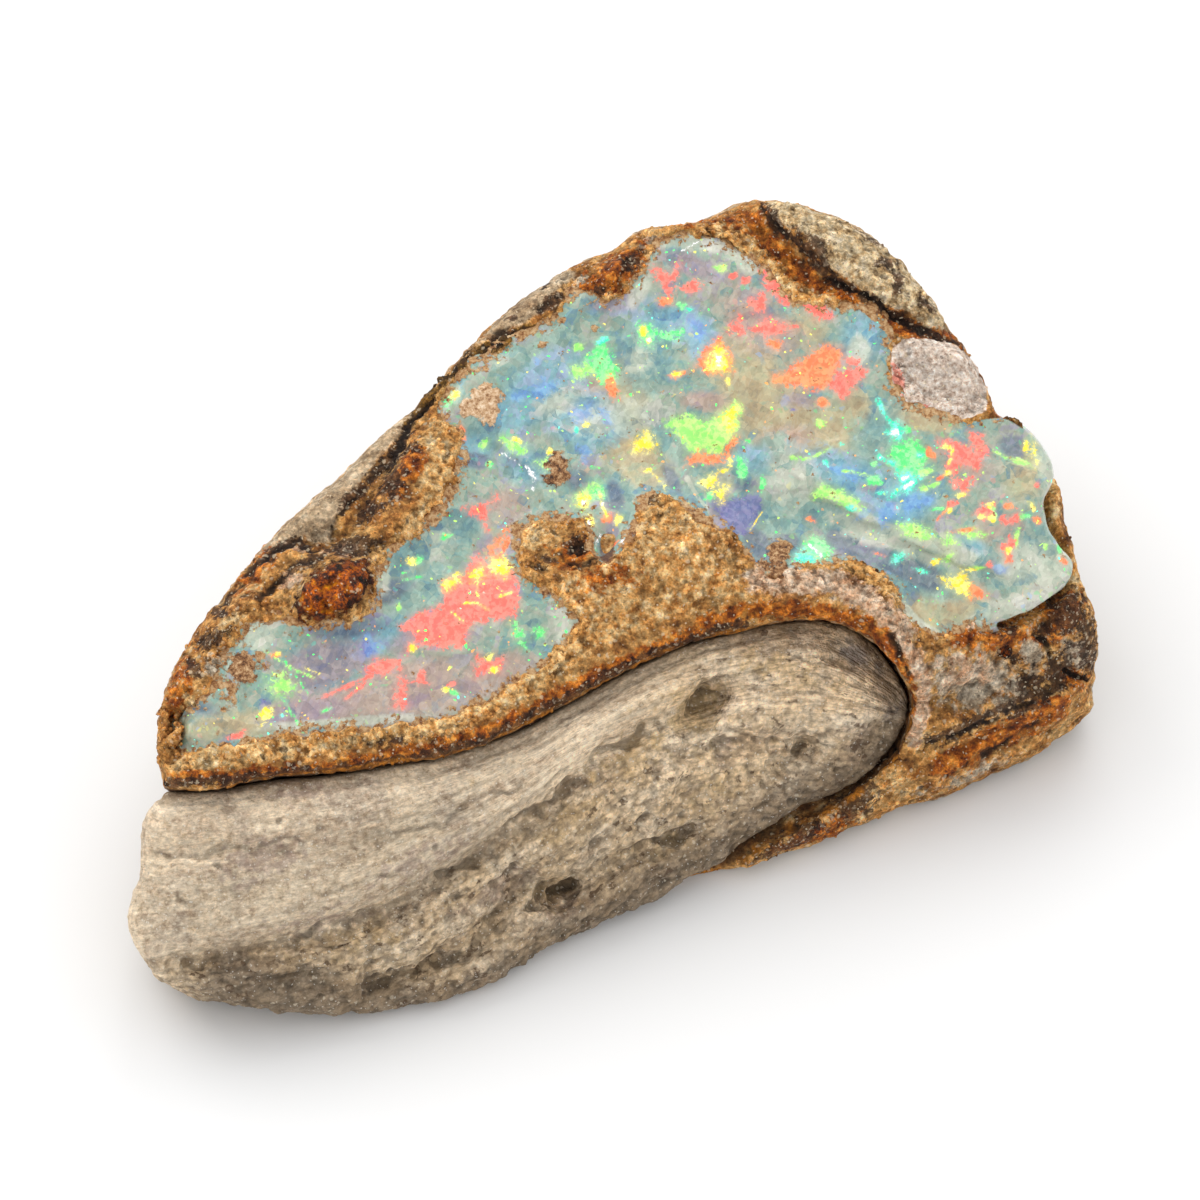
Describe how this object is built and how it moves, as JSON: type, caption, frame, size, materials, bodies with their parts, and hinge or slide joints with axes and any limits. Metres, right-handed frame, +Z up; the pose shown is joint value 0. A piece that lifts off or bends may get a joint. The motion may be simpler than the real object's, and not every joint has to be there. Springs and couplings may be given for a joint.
{
  "type": "rough opal specimen",
  "caption": "Uncut stone: a broken seam of precious opal in iron-stained sandstone, with a pale siltstone nodule along one side.",
  "frame": {"origin": "on the flat foot, under the middle of the stone", "axes": "+X along the stone's length, towards the end with the opal lobe; +Y from the siltstone nodule at the front to the hidden back; +Z up out of the foot"},
  "size_m": [0.0627, 0.0416, 0.0241],
  "materials": {
    "opal": "glassy broken opal with play of colour",
    "sandstone": "rough, iron-stained",
    "siltstone": "rough, pale, finely banded"
  },
  "bodies": {
    "root": {"opal": "opal", "sandstone_matrix": "sandstone", "siltstone_nodule": "siltstone"}
  },
  "joints": []
}
